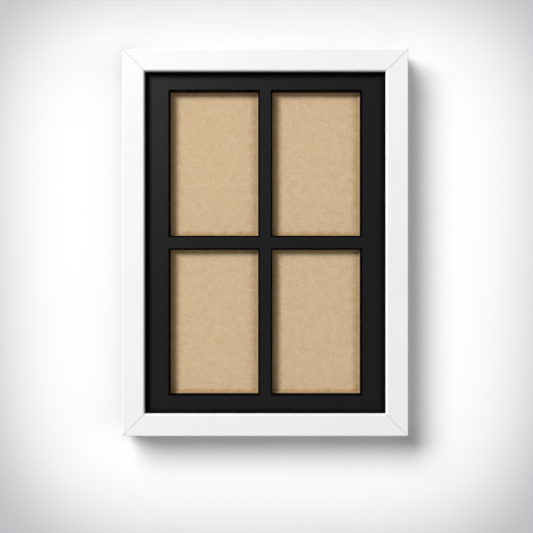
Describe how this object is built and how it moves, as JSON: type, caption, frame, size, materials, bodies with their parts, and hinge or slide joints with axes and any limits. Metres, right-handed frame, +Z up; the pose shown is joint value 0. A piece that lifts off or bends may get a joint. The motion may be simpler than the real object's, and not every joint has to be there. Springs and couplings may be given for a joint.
{
  "type": "card display frame",
  "caption": "White mitred wall frame with a black bevel-cut window mat over brown-floored pockets for graded card slabs, a lift-out back and turn buttons.",
  "frame": {"origin": "the hanging point on the wall plane: the wall nail's place in the sawtooth hanger's centre notch", "axes": "+Z up, +X to the right seen from the front, the front faces -Y and the wall is the plane y = 0"},
  "size_m": [0.2704, 0.0203, 0.3662],
  "materials": {
    "white_lacquered_wood": "sprayed satin white lacquer",
    "zinc_plated_steel": "bright zinc plate",
    "clear_acrylic": "clear, low reflection",
    "black_mat_board": "matt black paper face, black core",
    "black_foam_board": "matt black, knife cut",
    "kraft_board": "bare kraft paper board",
    "fibre_board": "bare sanded fibre board",
    "black_rubber": "matt moulded"
  },
  "bodies": {
    "frame": {"top_rail": "white_lacquered_wood", "bottom_rail": "white_lacquered_wood", "left_rail": "white_lacquered_wood", "right_rail": "white_lacquered_wood", "v_nails": "zinc_plated_steel", "glazing_sheet": "clear_acrylic", "window_mat": "black_mat_board", "slab_spacer": "black_foam_board", "turn_button_screws": "zinc_plated_steel", "sawtooth_hanger": "zinc_plated_steel", "hanger_nails": "zinc_plated_steel", "wall_bumper_left": "black_rubber", "wall_bumper_right": "black_rubber"},
    "back_panel": {"kraft_liner": "kraft_board", "backing_board": "fibre_board"},
    "turn_button_top_left": {"turn_button_top_left": "zinc_plated_steel"},
    "turn_button_top_right": {"turn_button_top_right": "zinc_plated_steel"},
    "turn_button_bottom_left": {"turn_button_bottom_left": "zinc_plated_steel"},
    "turn_button_bottom_right": {"turn_button_bottom_right": "zinc_plated_steel"},
    "turn_button_left_upper": {"turn_button_left_upper": "zinc_plated_steel"},
    "turn_button_left_lower": {"turn_button_left_lower": "zinc_plated_steel"},
    "turn_button_right_upper": {"turn_button_right_upper": "zinc_plated_steel"},
    "turn_button_right_lower": {"turn_button_right_lower": "zinc_plated_steel"}
  },
  "joints": [
    {"name": "back_panel_lift", "type": "slide", "parent": "frame", "child": "back_panel", "axis": [0, 1, 0], "range_m": [0, 0.05]},
    {"name": "turn_button_top_left_turn", "type": "hinge", "parent": "frame", "child": "turn_button_top_left", "pos_m": [-0.0676, -0.0032, 0.0028], "axis": [0, -1, 0], "continuous": true},
    {"name": "turn_button_top_right_turn", "type": "hinge", "parent": "frame", "child": "turn_button_top_right", "pos_m": [0.0676, -0.0032, 0.0028], "axis": [0, 1, 0], "continuous": true},
    {"name": "turn_button_bottom_left_turn", "type": "hinge", "parent": "frame", "child": "turn_button_bottom_left", "pos_m": [-0.0676, -0.0032, -0.3484], "axis": [0, 1, 0], "continuous": true},
    {"name": "turn_button_bottom_right_turn", "type": "hinge", "parent": "frame", "child": "turn_button_bottom_right", "pos_m": [0.0676, -0.0032, -0.3484], "axis": [0, -1, 0], "continuous": true},
    {"name": "turn_button_left_upper_turn", "type": "hinge", "parent": "frame", "child": "turn_button_left_upper", "pos_m": [-0.1277, -0.0032, -0.08125], "axis": [0, 1, 0], "continuous": true},
    {"name": "turn_button_left_lower_turn", "type": "hinge", "parent": "frame", "child": "turn_button_left_lower", "pos_m": [-0.1277, -0.0032, -0.26435], "axis": [0, -1, 0], "continuous": true},
    {"name": "turn_button_right_upper_turn", "type": "hinge", "parent": "frame", "child": "turn_button_right_upper", "pos_m": [0.1277, -0.0032, -0.08125], "axis": [0, -1, 0], "continuous": true},
    {"name": "turn_button_right_lower_turn", "type": "hinge", "parent": "frame", "child": "turn_button_right_lower", "pos_m": [0.1277, -0.0032, -0.26435], "axis": [0, 1, 0], "continuous": true}
  ]
}
